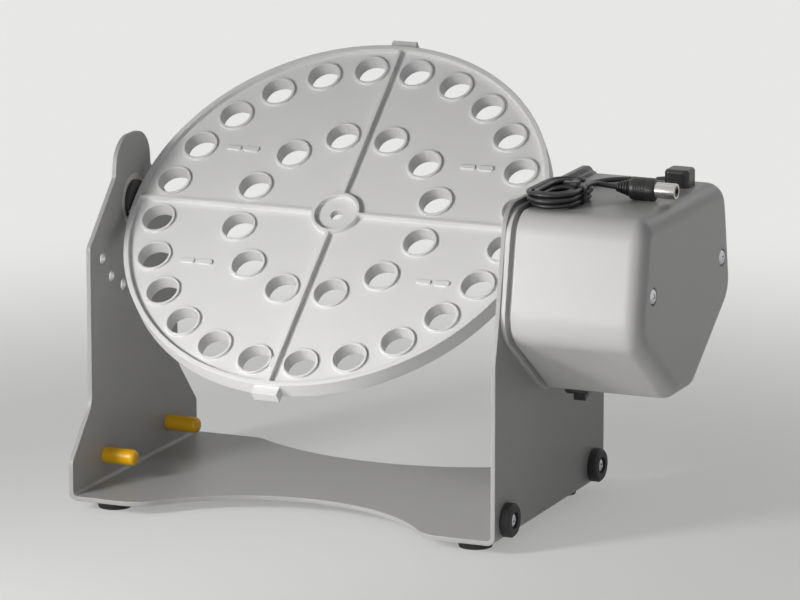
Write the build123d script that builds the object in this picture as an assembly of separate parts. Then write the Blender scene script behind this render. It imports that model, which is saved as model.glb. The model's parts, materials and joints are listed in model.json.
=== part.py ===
from build123d import *
import os
from math import cos, pi, radians, sin, tan

# Tube rotator.  Millimetres, +Z up, front towards -Y.  The turning axis lies along X at Y = 0.
# Distances called "out" are measured along X from the middle of the disc, and are the same on
# both sides.  Heights called "up" are measured from the underside of the bracket's base.

# ---- driving dimensions ----
SHEET = 1.6                 # bracket sheet thickness
BEND = 1.4                  # inside radius of the two bends
WIDTH = 161.6               # bracket, over both uprights
FRONT = -51.5               # bracket's front edge; its rear edge mirrors it
FOOT_HEIGHT = 3.8
AXIS_UP = 98.3              # turning axis above the base
DISC_TILT = 50.6            # degrees from upright, top leaning back, as it rests

DISC_RADIUS = 77.3
DISC_THICKNESS = 6.4
WEB = 2.4                   # disc's plate
WEB_TOP = 1.4               # front face of the plate, from the disc's middle plane
RIM_WALL = 1.8
TUBE_HOLE = 5.6             # radius, for a 2 ml tube
SLEEVE = 6.4                # outer radius of the sleeve round each tube hole
SLEEVE_UP = 0.9             # sleeve above the plate's front face
OUTER_RING = 66.6           # radius on which the outer tube holes lie
OUTER_COUNT = 24
INNER_RING = 35.8
INNER_COUNT = 12
LUG_WIDTH = 9.4             # coupling lug, along the rim
LUG_THICKNESS = 4.0
LUG_REACH = 80.5            # radius of the lug's end

HUB_RADIUS = 7.3
HUB_FACE = 77.7             # where the hub meets the rim, out
RUN = 0.05                  # running clearance of a shaft, on the radius
BUSH_RADIUS = 9.5
FLANGE_RADIUS = 12.0
BUSH_END = 83.0
IDLER_END = 85.2            # end of the idler hub, out

HOUSING_END = 130.8         # outer end of the drive housing, out
HOUSING_TOP = 114.5         # up
HOUSING_BOTTOM = 46.7       # up
PLATE = 1.8                 # housing base plate
GROOVE = 1.6                # shadow gap between base plate and cover
WALL = 2.0                  # cover wall

MODULE = 0.6                # gear tooth module
OUTPUT_TEETH = 38
SMALL_TEETH = 14
LARGE_TEETH = 36
PINION_TEETH = 12
MOTOR_SIDE = -30            # degrees, direction from the compound gear to the motor

LEAD = 1.8                  # diameter of the supply lead

# ---- worked out ----
AXIS_X = (IDLER_END - HOUSING_END) / 2
AXIS_Z = FOOT_HEIGHT + AXIS_UP
UPRIGHT_IN = WIDTH / 2 - SHEET
UPRIGHT_OUT = WIDTH / 2
COVER_IN = UPRIGHT_OUT + PLATE + GROOVE
COVER_TOP_Z = FOOT_HEIGHT + HOUSING_TOP
HALF = DISC_THICKNESS / 2
LOW = (Align.CENTER, Align.CENTER, Align.MIN)
DISC_PLANE = Plane(
    origin=(AXIS_X, 0, AXIS_Z), x_dir=(1, 0, 0),
    z_dir=(0, -cos(radians(DISC_TILT)), sin(radians(DISC_TILT))))


def along_x(out, y=0, z=AXIS_Z):
    """Plane whose normal is +X, at a distance out on the drive side."""
    return Plane(origin=(AXIS_X + out, y, z), x_dir=(0, 1, 0), z_dir=(1, 0, 0))


def rod(radius, start, end, y=0, z=AXIS_Z):
    """Cylinder along X from start to end, both measured out."""
    return along_x(start, y, z) * Cylinder(radius, end - start, align=LOW)


def ring(outer, inner, start, end, y=0, z=AXIS_Z):
    return rod(outer, start, end, y, z) - rod(inner, start, end, y, z)


def block(x0, x1, y0, y1, z0, z1):
    """Box between two corners, X measured out."""
    middle = Pos(AXIS_X + (x0 + x1) / 2, (y0 + y1) / 2, (z0 + z1) / 2)
    return middle * Box(x1 - x0, y1 - y0, z1 - z0)


def outline(points, radii, start, thickness):
    """Plate along X whose YZ outline is mirrored about Y = 0; points give the front half."""
    front = [(y, up + FOOT_HEIGHT) for y, up in points]
    rear = [(-y, z) for y, z in reversed(front)]
    face = make_face(Polyline(*front, *rear, close=True))
    for (y, z), radius in zip(front, radii):
        if radius:
            corners = [v for v in face.vertices() if abs(abs(v.X) - abs(y)) + abs(v.Y - z) < 0.01]
            face = fillet(corners, radius)
    return extrude(along_x(start, 0, 0) * face, thickness)


def save(name, shape):
    export_step(shape, "parts/" + name + ".step")


def group(solids):
    return Compound(children=[s for part in solids for s in part.solids()])


# ---- stand ----
LEFT_OUTLINE = [(FRONT, 0), (FRONT, 13.9), (-35.6, 31.2), (-35.6, 87.4), (-14.2, 108.8), (-12.8, 122.5)]
LEFT_RADII = [0, 3, 8, 3, 3, 11]
RIGHT_OUTLINE = [(FRONT, 0), (FRONT, 63.4), (-48.6, 76), (-43.2, 104.2), (-40.6, 117)]
RIGHT_RADII = [0, 12, 12, 20, 10]
ARCH_HALF_SPAN = 53.5
FRONT_ARCH = 29.0           # depth of the front edge's arch
REAR_ARCH = 17.0
ARCH_BLEND = (14.0, 8.0)    # radius where each arch runs out into the edge, front and rear
INDEX_RADIUS = 30.4
INDEX_ANGLES = (212.5, 232.5, 252.5)
INDEX_HOLE = 2.2
FOOT_RADIUS = 6.5
FOOT_INSET = 12.0
BUMPER_RADIUS = 6.0
BUMPER = 3.5                # bumper thickness
SCREW = 1.5                 # M3 screw radius
RIGHT_BUMPERS = ((-41.5, 7.2), (41.5, 7.2))
LEFT_BUMPERS = ((-25.5, 10.5), (27.0, 10.5))
BASE_SCREWS = ((-28, 105), (28, 105), (-20, 62), (20, 62))


def arch(side, depth):
    """Cutter for a shallow arch in the base's edge; side is -1 at the front, 1 at the rear."""
    radius = (ARCH_HALF_SPAN ** 2 + depth ** 2) / (2 * depth)
    middle = Pos(AXIS_X, side * (radius - depth - FRONT), FOOT_HEIGHT - 1)
    return middle * Cylinder(radius, SHEET + 2, align=LOW)


def bent_sheet(height):
    """The U-shaped blank, before its outlines are cut."""
    low = (Align.CENTER, Align.MIN)
    outside = Rectangle(WIDTH, height, align=low)
    inside = Pos(0, SHEET) * Rectangle(WIDTH - 2 * SHEET, height, align=low)
    outside = fillet(outside.vertices().sort_by(Axis.Y)[:2], BEND + SHEET)
    inside = fillet(inside.vertices().sort_by(Axis.Y)[:2], BEND)
    across = Plane(origin=(AXIS_X, FRONT, FOOT_HEIGHT), x_dir=(1, 0, 0), z_dir=(0, -1, 0))
    return extrude(across * (outside - inside), 2 * FRONT)


def bracket():
    height = LEFT_OUTLINE[-1][1]
    bent = bent_sheet(height)
    above_bend = FOOT_HEIGHT + 2 * (BEND + SHEET)
    for start, end, points, radii in (
            (-UPRIGHT_OUT - 1, -UPRIGHT_IN + BEND, LEFT_OUTLINE, LEFT_RADII),
            (UPRIGHT_IN - BEND, UPRIGHT_OUT + 1, RIGHT_OUTLINE, RIGHT_RADII)):
        blank = block(start, end, FRONT - 1, 1 - FRONT, above_bend, FOOT_HEIGHT + height + 1)
        bent -= blank - outline(points, radii, start - 1, end - start + 2)
    bent -= arch(-1, FRONT_ARCH)
    bent -= arch(1, REAR_ARCH)
    for side, radius in zip((-1, 1), ARCH_BLEND):
        run_outs = [e for e in bent.edges().filter_by(Axis.Z)
                    if abs(e.center().Y + side * FRONT) < 0.01 and abs(e.length - SHEET) < 0.01
                    and abs(abs(e.center().X - AXIS_X) - ARCH_HALF_SPAN) < 0.1]
        bent = fillet(run_outs, radius)
    holes = [rod(BUSH_RADIUS, -UPRIGHT_OUT - 1, -UPRIGHT_IN + 1)]
    holes.append(rod(BUSH_RADIUS, UPRIGHT_IN - 1, UPRIGHT_OUT + 1))
    for angle in INDEX_ANGLES:
        y = INDEX_RADIUS * cos(radians(angle))
        z = AXIS_Z + INDEX_RADIUS * sin(radians(angle))
        holes.append(rod(INDEX_HOLE, -UPRIGHT_OUT - 1, -UPRIGHT_IN + 1, y, z))
    for y, up in LEFT_BUMPERS:
        holes.append(rod(SCREW, -UPRIGHT_OUT - 1, -UPRIGHT_IN + 1, y, FOOT_HEIGHT + up))
    for y, up in RIGHT_BUMPERS:
        holes.append(rod(SCREW, UPRIGHT_IN - 1, UPRIGHT_OUT + 1, y, FOOT_HEIGHT + up))
    for y, up in BASE_SCREWS:
        holes.append(along_x(UPRIGHT_IN, y, FOOT_HEIGHT + up) * Cone(2 * SCREW, SCREW, SHEET, align=LOW))
    for hole in holes:
        bent -= hole
    return bent


def rubber_feet():
    feet = []
    for x in (-UPRIGHT_OUT + FOOT_INSET, UPRIGHT_OUT - FOOT_INSET):
        for y in (FRONT + FOOT_INSET, -FRONT - FOOT_INSET):
            feet.append(Pos(AXIS_X + x, y, 0) * Cone(FOOT_RADIUS - 0.7, FOOT_RADIUS, FOOT_HEIGHT, align=LOW))
    return group(feet)


def bumper(side, y, up):
    """Round rubber buffer on an upright's outer face; side is -1 on the left, 1 on the right."""
    z = FOOT_HEIGHT + up
    start = along_x(side * UPRIGHT_OUT, y, z)
    if side < 0:
        start = Plane(origin=start.origin, x_dir=(0, 1, 0), z_dir=(-1, 0, 0))
    body = start * Cylinder(BUMPER_RADIUS, BUMPER, align=LOW)
    body = chamfer(body.edges().sort_by(Axis.X)[0 if side < 0 else -1], 0.8)
    body -= start * Cylinder(SCREW, BUMPER, align=LOW)
    return body - start * Pos(0, 0, 1.5) * Cylinder(3.0, BUMPER, align=LOW)


def bumper_screw(side, y, up, reach):
    """Pan-head screw through a bumper; reach is how far it stands in past the upright."""
    z = FOOT_HEIGHT + up
    normal = (side, 0, 0)
    seat = Plane(origin=(AXIS_X + side * (UPRIGHT_OUT + 1.5), y, z), x_dir=(0, 1, 0), z_dir=normal)
    head = seat * Cylinder(2.75, 1.7, align=LOW)
    head = chamfer(head.edges().sort_by(Axis.X)[0 if side < 0 else -1], 0.6)
    shank_length = 1.5 + SHEET + reach
    return head + seat * Pos(0, 0, -shank_length) * Cylinder(SCREW, shank_length, align=LOW)


def side_bumpers():
    left = [bumper(-1, y, up) for y, up in LEFT_BUMPERS]
    right = [bumper(1, y, up) for y, up in RIGHT_BUMPERS]
    return group(left + right)


CAP_LENGTH = 12.5
CAP_RADIUS = 2.9
LONG_REACH = 11.0
SHORT_REACH = 3.4
NUT = 2.4


def bumper_screws():
    left = [bumper_screw(-1, y, up, LONG_REACH) for y, up in LEFT_BUMPERS]
    right = [bumper_screw(1, y, up, SHORT_REACH) for y, up in RIGHT_BUMPERS]
    return group(left + right)


def bumper_nuts():
    nuts = []
    for y, up in RIGHT_BUMPERS:
        hexagon = RegularPolygon(3.0, 6) - Circle(SCREW)
        nuts.append(extrude(along_x(UPRIGHT_IN - NUT, y, FOOT_HEIGHT + up) * hexagon, NUT))
    return group(nuts)


def screw_caps():
    """Soft yellow caps over the long screws inside the left upright."""
    caps = []
    for y, up in LEFT_BUMPERS:
        z = FOOT_HEIGHT + up
        body = rod(CAP_RADIUS, -UPRIGHT_IN, -UPRIGHT_IN + CAP_LENGTH, y, z)
        body = fillet(body.edges().sort_by(Axis.X)[-1], 1.8)
        caps.append(body - rod(SCREW, -UPRIGHT_IN, -UPRIGHT_IN + LONG_REACH, y, z))
    return group(caps)


# ---- bushes ----
def idler_bush():
    body = rod(BUSH_RADIUS, -UPRIGHT_OUT, -UPRIGHT_IN) + rod(FLANGE_RADIUS, -BUSH_END, -UPRIGHT_OUT)
    return body - rod(HUB_RADIUS + RUN, -BUSH_END - 1, -UPRIGHT_IN + 1)


def drive_bush():
    body = rod(BUSH_RADIUS, UPRIGHT_IN, UPRIGHT_OUT) + rod(FLANGE_RADIUS, UPRIGHT_OUT, BUSH_END)
    return body - rod(HUB_RADIUS + RUN, UPRIGHT_IN - 1, BUSH_END + 1)


# ---- disc, in its own plane: x along the turning axis, z out of the front face ----
RIB = 1.2
RING_OUT = 8.8
RING_IN = 7.6
CENTRE_HOLE = 2.2
MARK_X = 45.0
MARK_Y = 26.0
MARKS = ((-3.4, 5.6, 1.7), (3.4, 5.8, 2.2))     # each mark's two bars: shift, length, width
MARK_HEIGHT = 0.6
TICK = (-1.1, -67.5)        # thickening of one rib, beside the first pair of holes


def hole_places():
    outer = PolarLocations(OUTER_RING, OUTER_COUNT, start_angle=180 / OUTER_COUNT)
    inner = PolarLocations(INNER_RING, INNER_COUNT, start_angle=180 / INNER_COUNT)
    return list(outer) + list(inner)


def tube_disc():
    whole = Pos(0, 0, -HALF) * Cylinder(DISC_RADIUS, DISC_THICKNESS, align=LOW)
    hollow = Pos(0, 0, WEB_TOP) * Cylinder(DISC_RADIUS - RIM_WALL, DISC_THICKNESS, align=LOW)
    under = Pos(0, 0, WEB_TOP - WEB - DISC_THICKNESS)
    under = under * Cylinder(DISC_RADIUS - RIM_WALL, DISC_THICKNESS, align=LOW)
    disc = whole - hollow - under
    sleeves = Pos(0, 0, -HALF) * Cylinder(SLEEVE, HALF + WEB_TOP + SLEEVE_UP, align=LOW)
    disc += [place * sleeves for place in hole_places()]
    rib_length = DISC_RADIUS - RIM_WALL / 2 - (RING_OUT + RING_IN) / 2
    rib_middle = (DISC_RADIUS - RIM_WALL / 2 + (RING_OUT + RING_IN) / 2) / 2
    rib_height = HALF - WEB_TOP + 0.4
    rib = Pos(rib_middle, 0, HALF - rib_height) * Box(rib_length, RIB, rib_height, align=LOW)
    ribs = [Rot(0, 0, 90 * k) * rib for k in range(4)]
    raised = Cylinder(RING_OUT, rib_height, align=LOW) - Cylinder(RING_IN, rib_height, align=LOW)
    disc += ribs + [Pos(0, 0, HALF - rib_height) * raised]
    lug = Pos(LUG_REACH - 2.3, 0, 0) * Box(4.6, LUG_WIDTH, LUG_THICKNESS)
    disc += [Rot(0, 0, 90 * k) * lug for k in range(4)]
    bars = [Pos(shift, 0, 0) * extrude(SlotOverall(length, width), MARK_HEIGHT + 0.2)
            for shift, length, width in MARKS]
    for x in (-MARK_X, MARK_X):
        for y in (-MARK_Y, MARK_Y):
            disc += [Pos(x, y, WEB_TOP - 0.2) * bar for bar in bars]
    disc += Pos(*TICK, HALF - rib_height) * Box(1.2, 5.0, rib_height, align=LOW)
    bores = Pos(0, 0, -HALF - 1) * Cylinder(TUBE_HOLE, DISC_THICKNESS + 2, align=LOW)
    disc -= [place * bores for place in hole_places()]
    disc -= Cylinder(CENTRE_HOLE, 2 * DISC_THICKNESS)
    return disc


# ---- hubs and shaft ----
SLOT = LUG_THICKNESS + 0.1
SLOT_END = LUG_REACH + 0.2
CLIP_START = 83.1
CLIP_END = 84.1
CLIP_SEAT = 6.3
SHAFT = 3.0
SHAFT_START = 81.6
SHAFT_END = 101.2
HUB_END = 86.0
PIN_OUT = 84.6
PIN = 1.0


def hub(end):
    """Round black hub with a slot across its face, in which a lug of the disc sits."""
    body = rod(HUB_RADIUS, HUB_FACE, end)
    slot = Box(SLOT_END - HUB_FACE + 1, 2 * HUB_RADIUS + 2, SLOT,
               align=(Align.MIN, Align.CENTER, Align.CENTER))
    return body - DISC_PLANE * Pos(HUB_FACE - 1, 0, 0) * slot


def mirrored(shape):
    """The same piece on the idler side."""
    return mirror(shape, Plane(origin=(AXIS_X, 0, 0), z_dir=(1, 0, 0)))


def idler_hub():
    body = hub(IDLER_END) - ring(HUB_RADIUS + 1, CLIP_SEAT, CLIP_START, CLIP_END)
    return mirrored(body)


def idler_clip():
    """Open snap ring in the idler hub's groove."""
    face = Circle(HUB_RADIUS + 1.7) - Circle(CLIP_SEAT) - Pos(0, -10) * Rectangle(5, 20)
    return mirrored(extrude(along_x(CLIP_START) * face, CLIP_END - CLIP_START))


def pin_bore(radius, length):
    middle = Plane(origin=(AXIS_X + PIN_OUT, 0, AXIS_Z), x_dir=(1, 0, 0), z_dir=DISC_PLANE.z_dir)
    return middle * Cylinder(radius, length)


def drive_hub():
    body = hub(HUB_END) - rod(SHAFT, SHAFT_START, HUB_END + 1)
    return body - pin_bore(PIN, 4 * HUB_RADIUS)


def drive_shaft():
    return rod(SHAFT, SHAFT_START, SHAFT_END) - pin_bore(PIN, 4 * HUB_RADIUS)


def drive_pin():
    return pin_bore(PIN, 2 * HUB_RADIUS - 0.4)


# ---- gears ----
GEAR_A = (86.6, 90.6)       # where the output gear's face starts and ends, out
GEAR_B = (91.6, 94.6)       # the compound gear's large wheel
STUD = 2.0
CENTRE_GAP = 0.1           # added to each centre distance
COMPOUND_DROP = MODULE * (OUTPUT_TEETH + SMALL_TEETH) / 2 + CENTRE_GAP
MOTOR_REACH = MODULE * (LARGE_TEETH + PINION_TEETH) / 2 + CENTRE_GAP
COMPOUND_Z = AXIS_Z - COMPOUND_DROP
MOTOR_Y = MOTOR_REACH * cos(radians(MOTOR_SIDE))
MOTOR_Z = COMPOUND_Z + MOTOR_REACH * sin(radians(MOTOR_SIDE))


def gear(teeth, tooth_at, start, end, y, z):
    """Spur gear along X with straight-flanked teeth, one of them pointing at tooth_at degrees."""
    pitch_radius = MODULE * teeth / 2
    tip = pitch_radius + 0.9 * MODULE
    root = pitch_radius - 1.2 * MODULE
    step = 360 / teeth
    points = []
    for k in range(teeth):
        middle = tooth_at + k * step
        for radius, share in ((root, -0.29), (tip, -0.11), (tip, 0.11), (root, 0.29)):
            angle = radians(middle + share * step)
            points.append((radius * cos(angle), radius * sin(angle)))
    face = make_face(Polyline(*points, close=True))
    return extrude(along_x(start, y, z) * face, end - start)


def output_gear():
    wheel = gear(OUTPUT_TEETH, -90, GEAR_A[0], GEAR_A[1], 0, AXIS_Z)
    return wheel - rod(SHAFT, GEAR_A[0], GEAR_A[1])


def compound_gear():
    small = gear(SMALL_TEETH, 90 + 180 / SMALL_TEETH, GEAR_A[0] - 0.4, GEAR_B[0], 0, COMPOUND_Z)
    large = gear(LARGE_TEETH, MOTOR_SIDE, GEAR_B[0], GEAR_B[1], 0, COMPOUND_Z)
    return small + large - rod(STUD + RUN, GEAR_A[0] - 1, GEAR_B[1] + 1, 0, COMPOUND_Z)


MOTOR_FACE = 100.5
MOTOR_END = 124.5
MOTOR_RADIUS = 12.0
MOTOR_SHAFT = 1.0
BOSS = 3.5


def motor_pinion():
    wheel = gear(PINION_TEETH, MOTOR_SIDE + 180 + 180 / PINION_TEETH, GEAR_B[0] - 0.5, GEAR_B[1] + 0.5,
                 MOTOR_Y, MOTOR_Z)
    return wheel - rod(MOTOR_SHAFT, GEAR_B[0] - 1, GEAR_B[1] + 1, MOTOR_Y, MOTOR_Z)


def motor_shaft():
    return rod(MOTOR_SHAFT, GEAR_B[0] - 0.5, MOTOR_FACE + 6, MOTOR_Y, MOTOR_Z)


# ---- gearbox plate and motor ----
PLATE_IN = 99.0
PILLAR = 2.5
PILLARS = ((-13, 68), (21, 97), (-19, 92))
MOTOR_SCREW_PITCH = 8.0


def gearbox_plate():
    corners = [(y, FOOT_HEIGHT + up) for y, up in ((-24, 62), (26, 62), (26, 104), (-24, 104))]
    face = fillet(make_face(Polyline(*corners, close=True)).vertices(), 5)
    plate = extrude(along_x(PLATE_IN, 0, 0) * face, MOTOR_FACE - PLATE_IN)
    plate -= rod(SHAFT + 2, PLATE_IN - 1, MOTOR_FACE + 1)
    plate -= rod(STUD, PLATE_IN - 1, MOTOR_FACE + 1, 0, COMPOUND_Z)
    plate -= rod(BOSS, PLATE_IN - 1, MOTOR_FACE + 1, MOTOR_Y, MOTOR_Z)
    for y, z in motor_screw_places():
        plate -= rod(SCREW, PLATE_IN - 1, MOTOR_FACE + 1, y, z)
    for y, up in PILLARS:
        plate -= rod(SCREW, PLATE_IN - 1, MOTOR_FACE + 1, y, FOOT_HEIGHT + up)
    return plate


def motor_screw_places():
    return [(MOTOR_Y + side * MOTOR_SCREW_PITCH, MOTOR_Z) for side in (-1, 1)]


def plate_pillars():
    pillars = [ring(PILLAR, SCREW, UPRIGHT_OUT + PLATE, PLATE_IN, y, FOOT_HEIGHT + up) for y, up in PILLARS]
    return group(pillars)


def pan_screw(seat, length, y, z):
    """Pan-head screw with its head on the outer side of seat, pointing back towards the disc."""
    head = rod(2.7, seat, seat + 1.8, y, z)
    head = chamfer(head.edges().sort_by(Axis.X)[-1], 0.6)
    return head + rod(SCREW, seat - length, seat, y, z)


def pillar_screws():
    return group([pan_screw(MOTOR_FACE, 8, y, FOOT_HEIGHT + up) for y, up in PILLARS])


def shaft_bearing():
    body = rod(SHAFT + 2, PLATE_IN, MOTOR_FACE) + rod(SHAFT + 3.2, PLATE_IN - 1, PLATE_IN)
    return body - rod(SHAFT + RUN, PLATE_IN - 2, MOTOR_FACE + 1)


def gear_stud():
    head = rod(STUD + 1.2, GEAR_A[0] - 1.6, GEAR_A[0] - 0.6, 0, COMPOUND_Z)
    return head + rod(STUD, GEAR_A[0] - 0.6, MOTOR_FACE + 0.6, 0, COMPOUND_Z)


def motor_can():
    can = rod(MOTOR_RADIUS, MOTOR_FACE, MOTOR_END - 3, MOTOR_Y, MOTOR_Z)
    can = chamfer(can.edges().sort_by(Axis.X)[0], 1.0)
    can += rod(BOSS, PLATE_IN + 0.3, MOTOR_FACE, MOTOR_Y, MOTOR_Z)
    can -= rod(MOTOR_SHAFT + RUN, PLATE_IN - 1, MOTOR_FACE + 6, MOTOR_Y, MOTOR_Z)
    for y, z in motor_screw_places():
        can -= rod(SCREW, MOTOR_FACE - 1, MOTOR_FACE + 3, y, z)
    return can


def motor_end_cap():
    cap = rod(MOTOR_RADIUS - 1, MOTOR_END - 3, MOTOR_END, MOTOR_Y, MOTOR_Z)
    cap = chamfer(cap.edges().sort_by(Axis.X)[-1], 0.8)
    for side in (-1, 1):
        cap -= block(MOTOR_END - 2, MOTOR_END + 1, MOTOR_Y + side * 6 - 1, MOTOR_Y + side * 6 + 1,
                     MOTOR_Z - 1.5, MOTOR_Z + 1.5)
    return cap


def motor_screws():
    screws = []
    for y, z in motor_screw_places():
        head = rod(2.6, PLATE_IN - 1.4, PLATE_IN, y, z)
        screws.append(head + rod(SCREW, PLATE_IN, MOTOR_FACE + 3, y, z))
    return group(screws)


# ---- housing ----
COVER_OUTLINE = [(-9.5, HOUSING_BOTTOM), (-47.6, 73.6), (-42.4, 104), (-40.0, HOUSING_TOP)]
COVER_RADII = [7, 13, 20, 9]
POSTS = ((-33, 88), (35, 88))
POST = 3.0
SWITCH_OUT = 93.6
SWITCH_WIDTH = 8.6
SWITCH_FRONT = -8.5
SWITCH_LENGTH = 15.0
ROUND_END = 6.0


def grown(amount, start, thickness):
    """Plate along X with the housing's outline, grown or shrunk by amount."""
    plate = outline(COVER_OUTLINE, COVER_RADII, start, thickness)
    if not amount:
        return plate
    face = plate.faces().sort_by(Axis.X)[0]
    wire = face.outer_wire().offset_2d(amount, kind=Kind.ARC)
    return extrude(Face(wire), thickness, dir=(1, 0, 0))


def housing_base():
    base = grown(0.8, UPRIGHT_OUT, PLATE)
    spigot = grown(-WALL, UPRIGHT_OUT + PLATE, GROOVE + 3) - grown(-WALL - 1.6, UPRIGHT_OUT, PLATE + GROOVE + 5)
    base += spigot
    base -= rod(FLANGE_RADIUS, UPRIGHT_OUT - 1, UPRIGHT_OUT + PLATE + 1)
    for y, up in BASE_SCREWS:
        base += rod(3.2, UPRIGHT_OUT + PLATE, UPRIGHT_OUT + PLATE + 4, y, FOOT_HEIGHT + up)
        base -= rod(SCREW, UPRIGHT_OUT - 1, UPRIGHT_OUT + PLATE + 3, y, FOOT_HEIGHT + up)
    return base


def base_screws():
    screws = []
    for y, up in BASE_SCREWS:
        place = along_x(UPRIGHT_IN, y, FOOT_HEIGHT + up)
        head = place * Cone(2 * SCREW, SCREW, SHEET, align=LOW)
        shank = rod(SCREW, UPRIGHT_OUT, UPRIGHT_OUT + PLATE + 3, y, FOOT_HEIGHT + up)
        screws.append(head + shank)
    return group(screws)


def cover_posts():
    posts = []
    for y, up in POSTS:
        face = RegularPolygon(POST, 6) - Circle(SCREW)
        posts.append(extrude(along_x(UPRIGHT_OUT + PLATE, y, FOOT_HEIGHT + up) * face,
                             HOUSING_END - WALL - UPRIGHT_OUT - PLATE))
    return group(posts)


def cover_screws():
    return group([pan_screw(HOUSING_END - 1.2, 9, y, FOOT_HEIGHT + up) for y, up in POSTS])


def switch_hole():
    return block(SWITCH_OUT - SWITCH_WIDTH / 2 + 1, SWITCH_OUT + SWITCH_WIDTH / 2 - 1,
                 SWITCH_FRONT + 1, SWITCH_FRONT + SWITCH_LENGTH - 1,
                 FOOT_HEIGHT + HOUSING_BOTTOM - 1, FOOT_HEIGHT + HOUSING_BOTTOM + WALL + 1)


def housing_cover():
    outer = grown(0, COVER_IN, HOUSING_END - COVER_IN)
    end = outer.faces().sort_by(Axis.X)[-1]
    outer = fillet(end.edges(), ROUND_END)
    cover = outer - grown(-WALL, COVER_IN - 1, HOUSING_END - WALL - COVER_IN + 1)
    for y, up in POSTS:
        z = FOOT_HEIGHT + up
        cover -= rod(SCREW, HOUSING_END - WALL - 1, HOUSING_END + 1, y, z)
        cover -= rod(3.2, HOUSING_END - 1.2, HOUSING_END + 1, y, z)
    return cover - switch_hole()


ROCKER_PIVOT_Y = SWITCH_FRONT + SWITCH_LENGTH / 2
ROCKER_PIVOT_Z = FOOT_HEIGHT + HOUSING_BOTTOM - 0.2
ROCKER_TILT = 9


def switch_body():
    """Black snap-in rocker switch: bezel under the housing, body inside it."""
    bottom = FOOT_HEIGHT + HOUSING_BOTTOM
    bezel = block(SWITCH_OUT - SWITCH_WIDTH / 2, SWITCH_OUT + SWITCH_WIDTH / 2,
                  SWITCH_FRONT, SWITCH_FRONT + SWITCH_LENGTH, bottom - 1.6, bottom)
    bezel = chamfer(bezel.faces().sort_by(Axis.Z)[0].edges(), 0.8)
    inner = block(SWITCH_OUT - SWITCH_WIDTH / 2 + 1, SWITCH_OUT + SWITCH_WIDTH / 2 - 1,
                  SWITCH_FRONT + 1, SWITCH_FRONT + SWITCH_LENGTH - 1, bottom, bottom + 12)
    pocket = block(SWITCH_OUT - 2.4, SWITCH_OUT + 2.4, SWITCH_FRONT + 2, SWITCH_FRONT + SWITCH_LENGTH - 2,
                   bottom - 4, bottom + 4)
    pin_holes = rod(0.8, SWITCH_OUT - 3, SWITCH_OUT + 3, ROCKER_PIVOT_Y, ROCKER_PIVOT_Z)
    return bezel + inner - pocket - pin_holes


def switch_rocker():
    half_width = 2.2
    half_length = SWITCH_LENGTH / 2 - 2.6
    low = 3.4
    points = [(-half_length, 1.4), (-half_length, -low), (0, -low + 1.1), (half_length, -low), (half_length, 1.4)]
    face = make_face(Polyline(*points, close=True))
    place = along_x(SWITCH_OUT - half_width, ROCKER_PIVOT_Y, ROCKER_PIVOT_Z)
    body = extrude(place * Rot(0, 0, ROCKER_TILT) * face, 2 * half_width)
    return body + rod(0.75, SWITCH_OUT - 2.9, SWITCH_OUT + 2.9, ROCKER_PIVOT_Y, ROCKER_PIVOT_Z)


# ---- supply lead, coiled on top of the housing ----
LEAD_Z = COVER_TOP_Z + LEAD / 2 + 0.1
ROUTE = [(110, 25), (103, 25), (95, 21.5), (90, 13), (88.7, 0.8)]
COIL_OUT = (82.9, 99.5)
COIL_Y = (-33.3, 0.6)
COIL_HEIGHT = 6.1
COIL_OVERHANG = 81.2        # the upper turns reach further towards the disc
COIL_OVERHANG_UP = 1.4
COIL_OPENING = ((86.8, 95.7), (-28.1, -8.2))
PLUG_Y = -3.6
PLUG_Z = COVER_TOP_Z + 4.0
PLUG_BACK = 106.0
TIE_Y = -17.5
TIE_WIDTH = 3.0
TIE = 0.5


def strain_relief():
    """Low black grip on the housing's top, whose tapered nose lays the lead along the surface."""
    grip = block(114, 123, 20.5, 29.5, COVER_TOP_Z, COVER_TOP_Z + 6.2)
    grip = fillet(grip.edges().filter_by(Axis.Z), 2)
    grip = fillet(grip.faces().sort_by(Axis.Z)[-1].edges(), 1.2)
    nose = Plane(origin=(AXIS_X + ROUTE[0][0], ROUTE[0][1], LEAD_Z), x_dir=(0, 1, 0), z_dir=(1, 0, 0))
    taper = nose * Cone(LEAD / 2 + 0.5, LEAD / 2 + 1.7, 8, align=LOW)
    below = block(100, 125, 10, 32, COVER_TOP_Z - 5, COVER_TOP_Z)
    return grip + (taper - below)


def lead_path():
    points = [Vector(AXIS_X + out, y, LEAD_Z) for out, y in ROUTE]
    runs = [(b - a).length for a, b in zip(points, points[1:])]
    radii = []
    for k in range(1, len(points) - 1):
        turn = (points[k] - points[k - 1]).get_angle(points[k + 1] - points[k])
        radii.append(0.45 * min(runs[k - 1], runs[k]) / tan(radians(turn / 2)))
    return FilletPolyline(*points, radius=radii), radii


def lead_tube():
    """The lead's run from the grip to the coil, and its short run from the coil to the plug."""
    path, radii = lead_path()
    run = sweep(Plane(origin=path @ 0, z_dir=path % 0) * Circle(LEAD / 2), path=path)
    expected = pi * (LEAD / 2) ** 2 * path.length
    print("lead radii", [round(r, 1) for r in radii], "length", round(path.length, 1),
          "volume share", round(run.volume / expected, 4))
    return group([run, rod(LEAD / 2, COIL_OUT[1] + 0.1, PLUG_BACK, PLUG_Y, PLUG_Z)])


def rounded_block(x0, x1, y0, y1, z0, z1, radius):
    body = block(x0, x1, y0, y1, z0, z1)
    return fillet(body.edges().filter_by(Axis.Z), radius)


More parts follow.
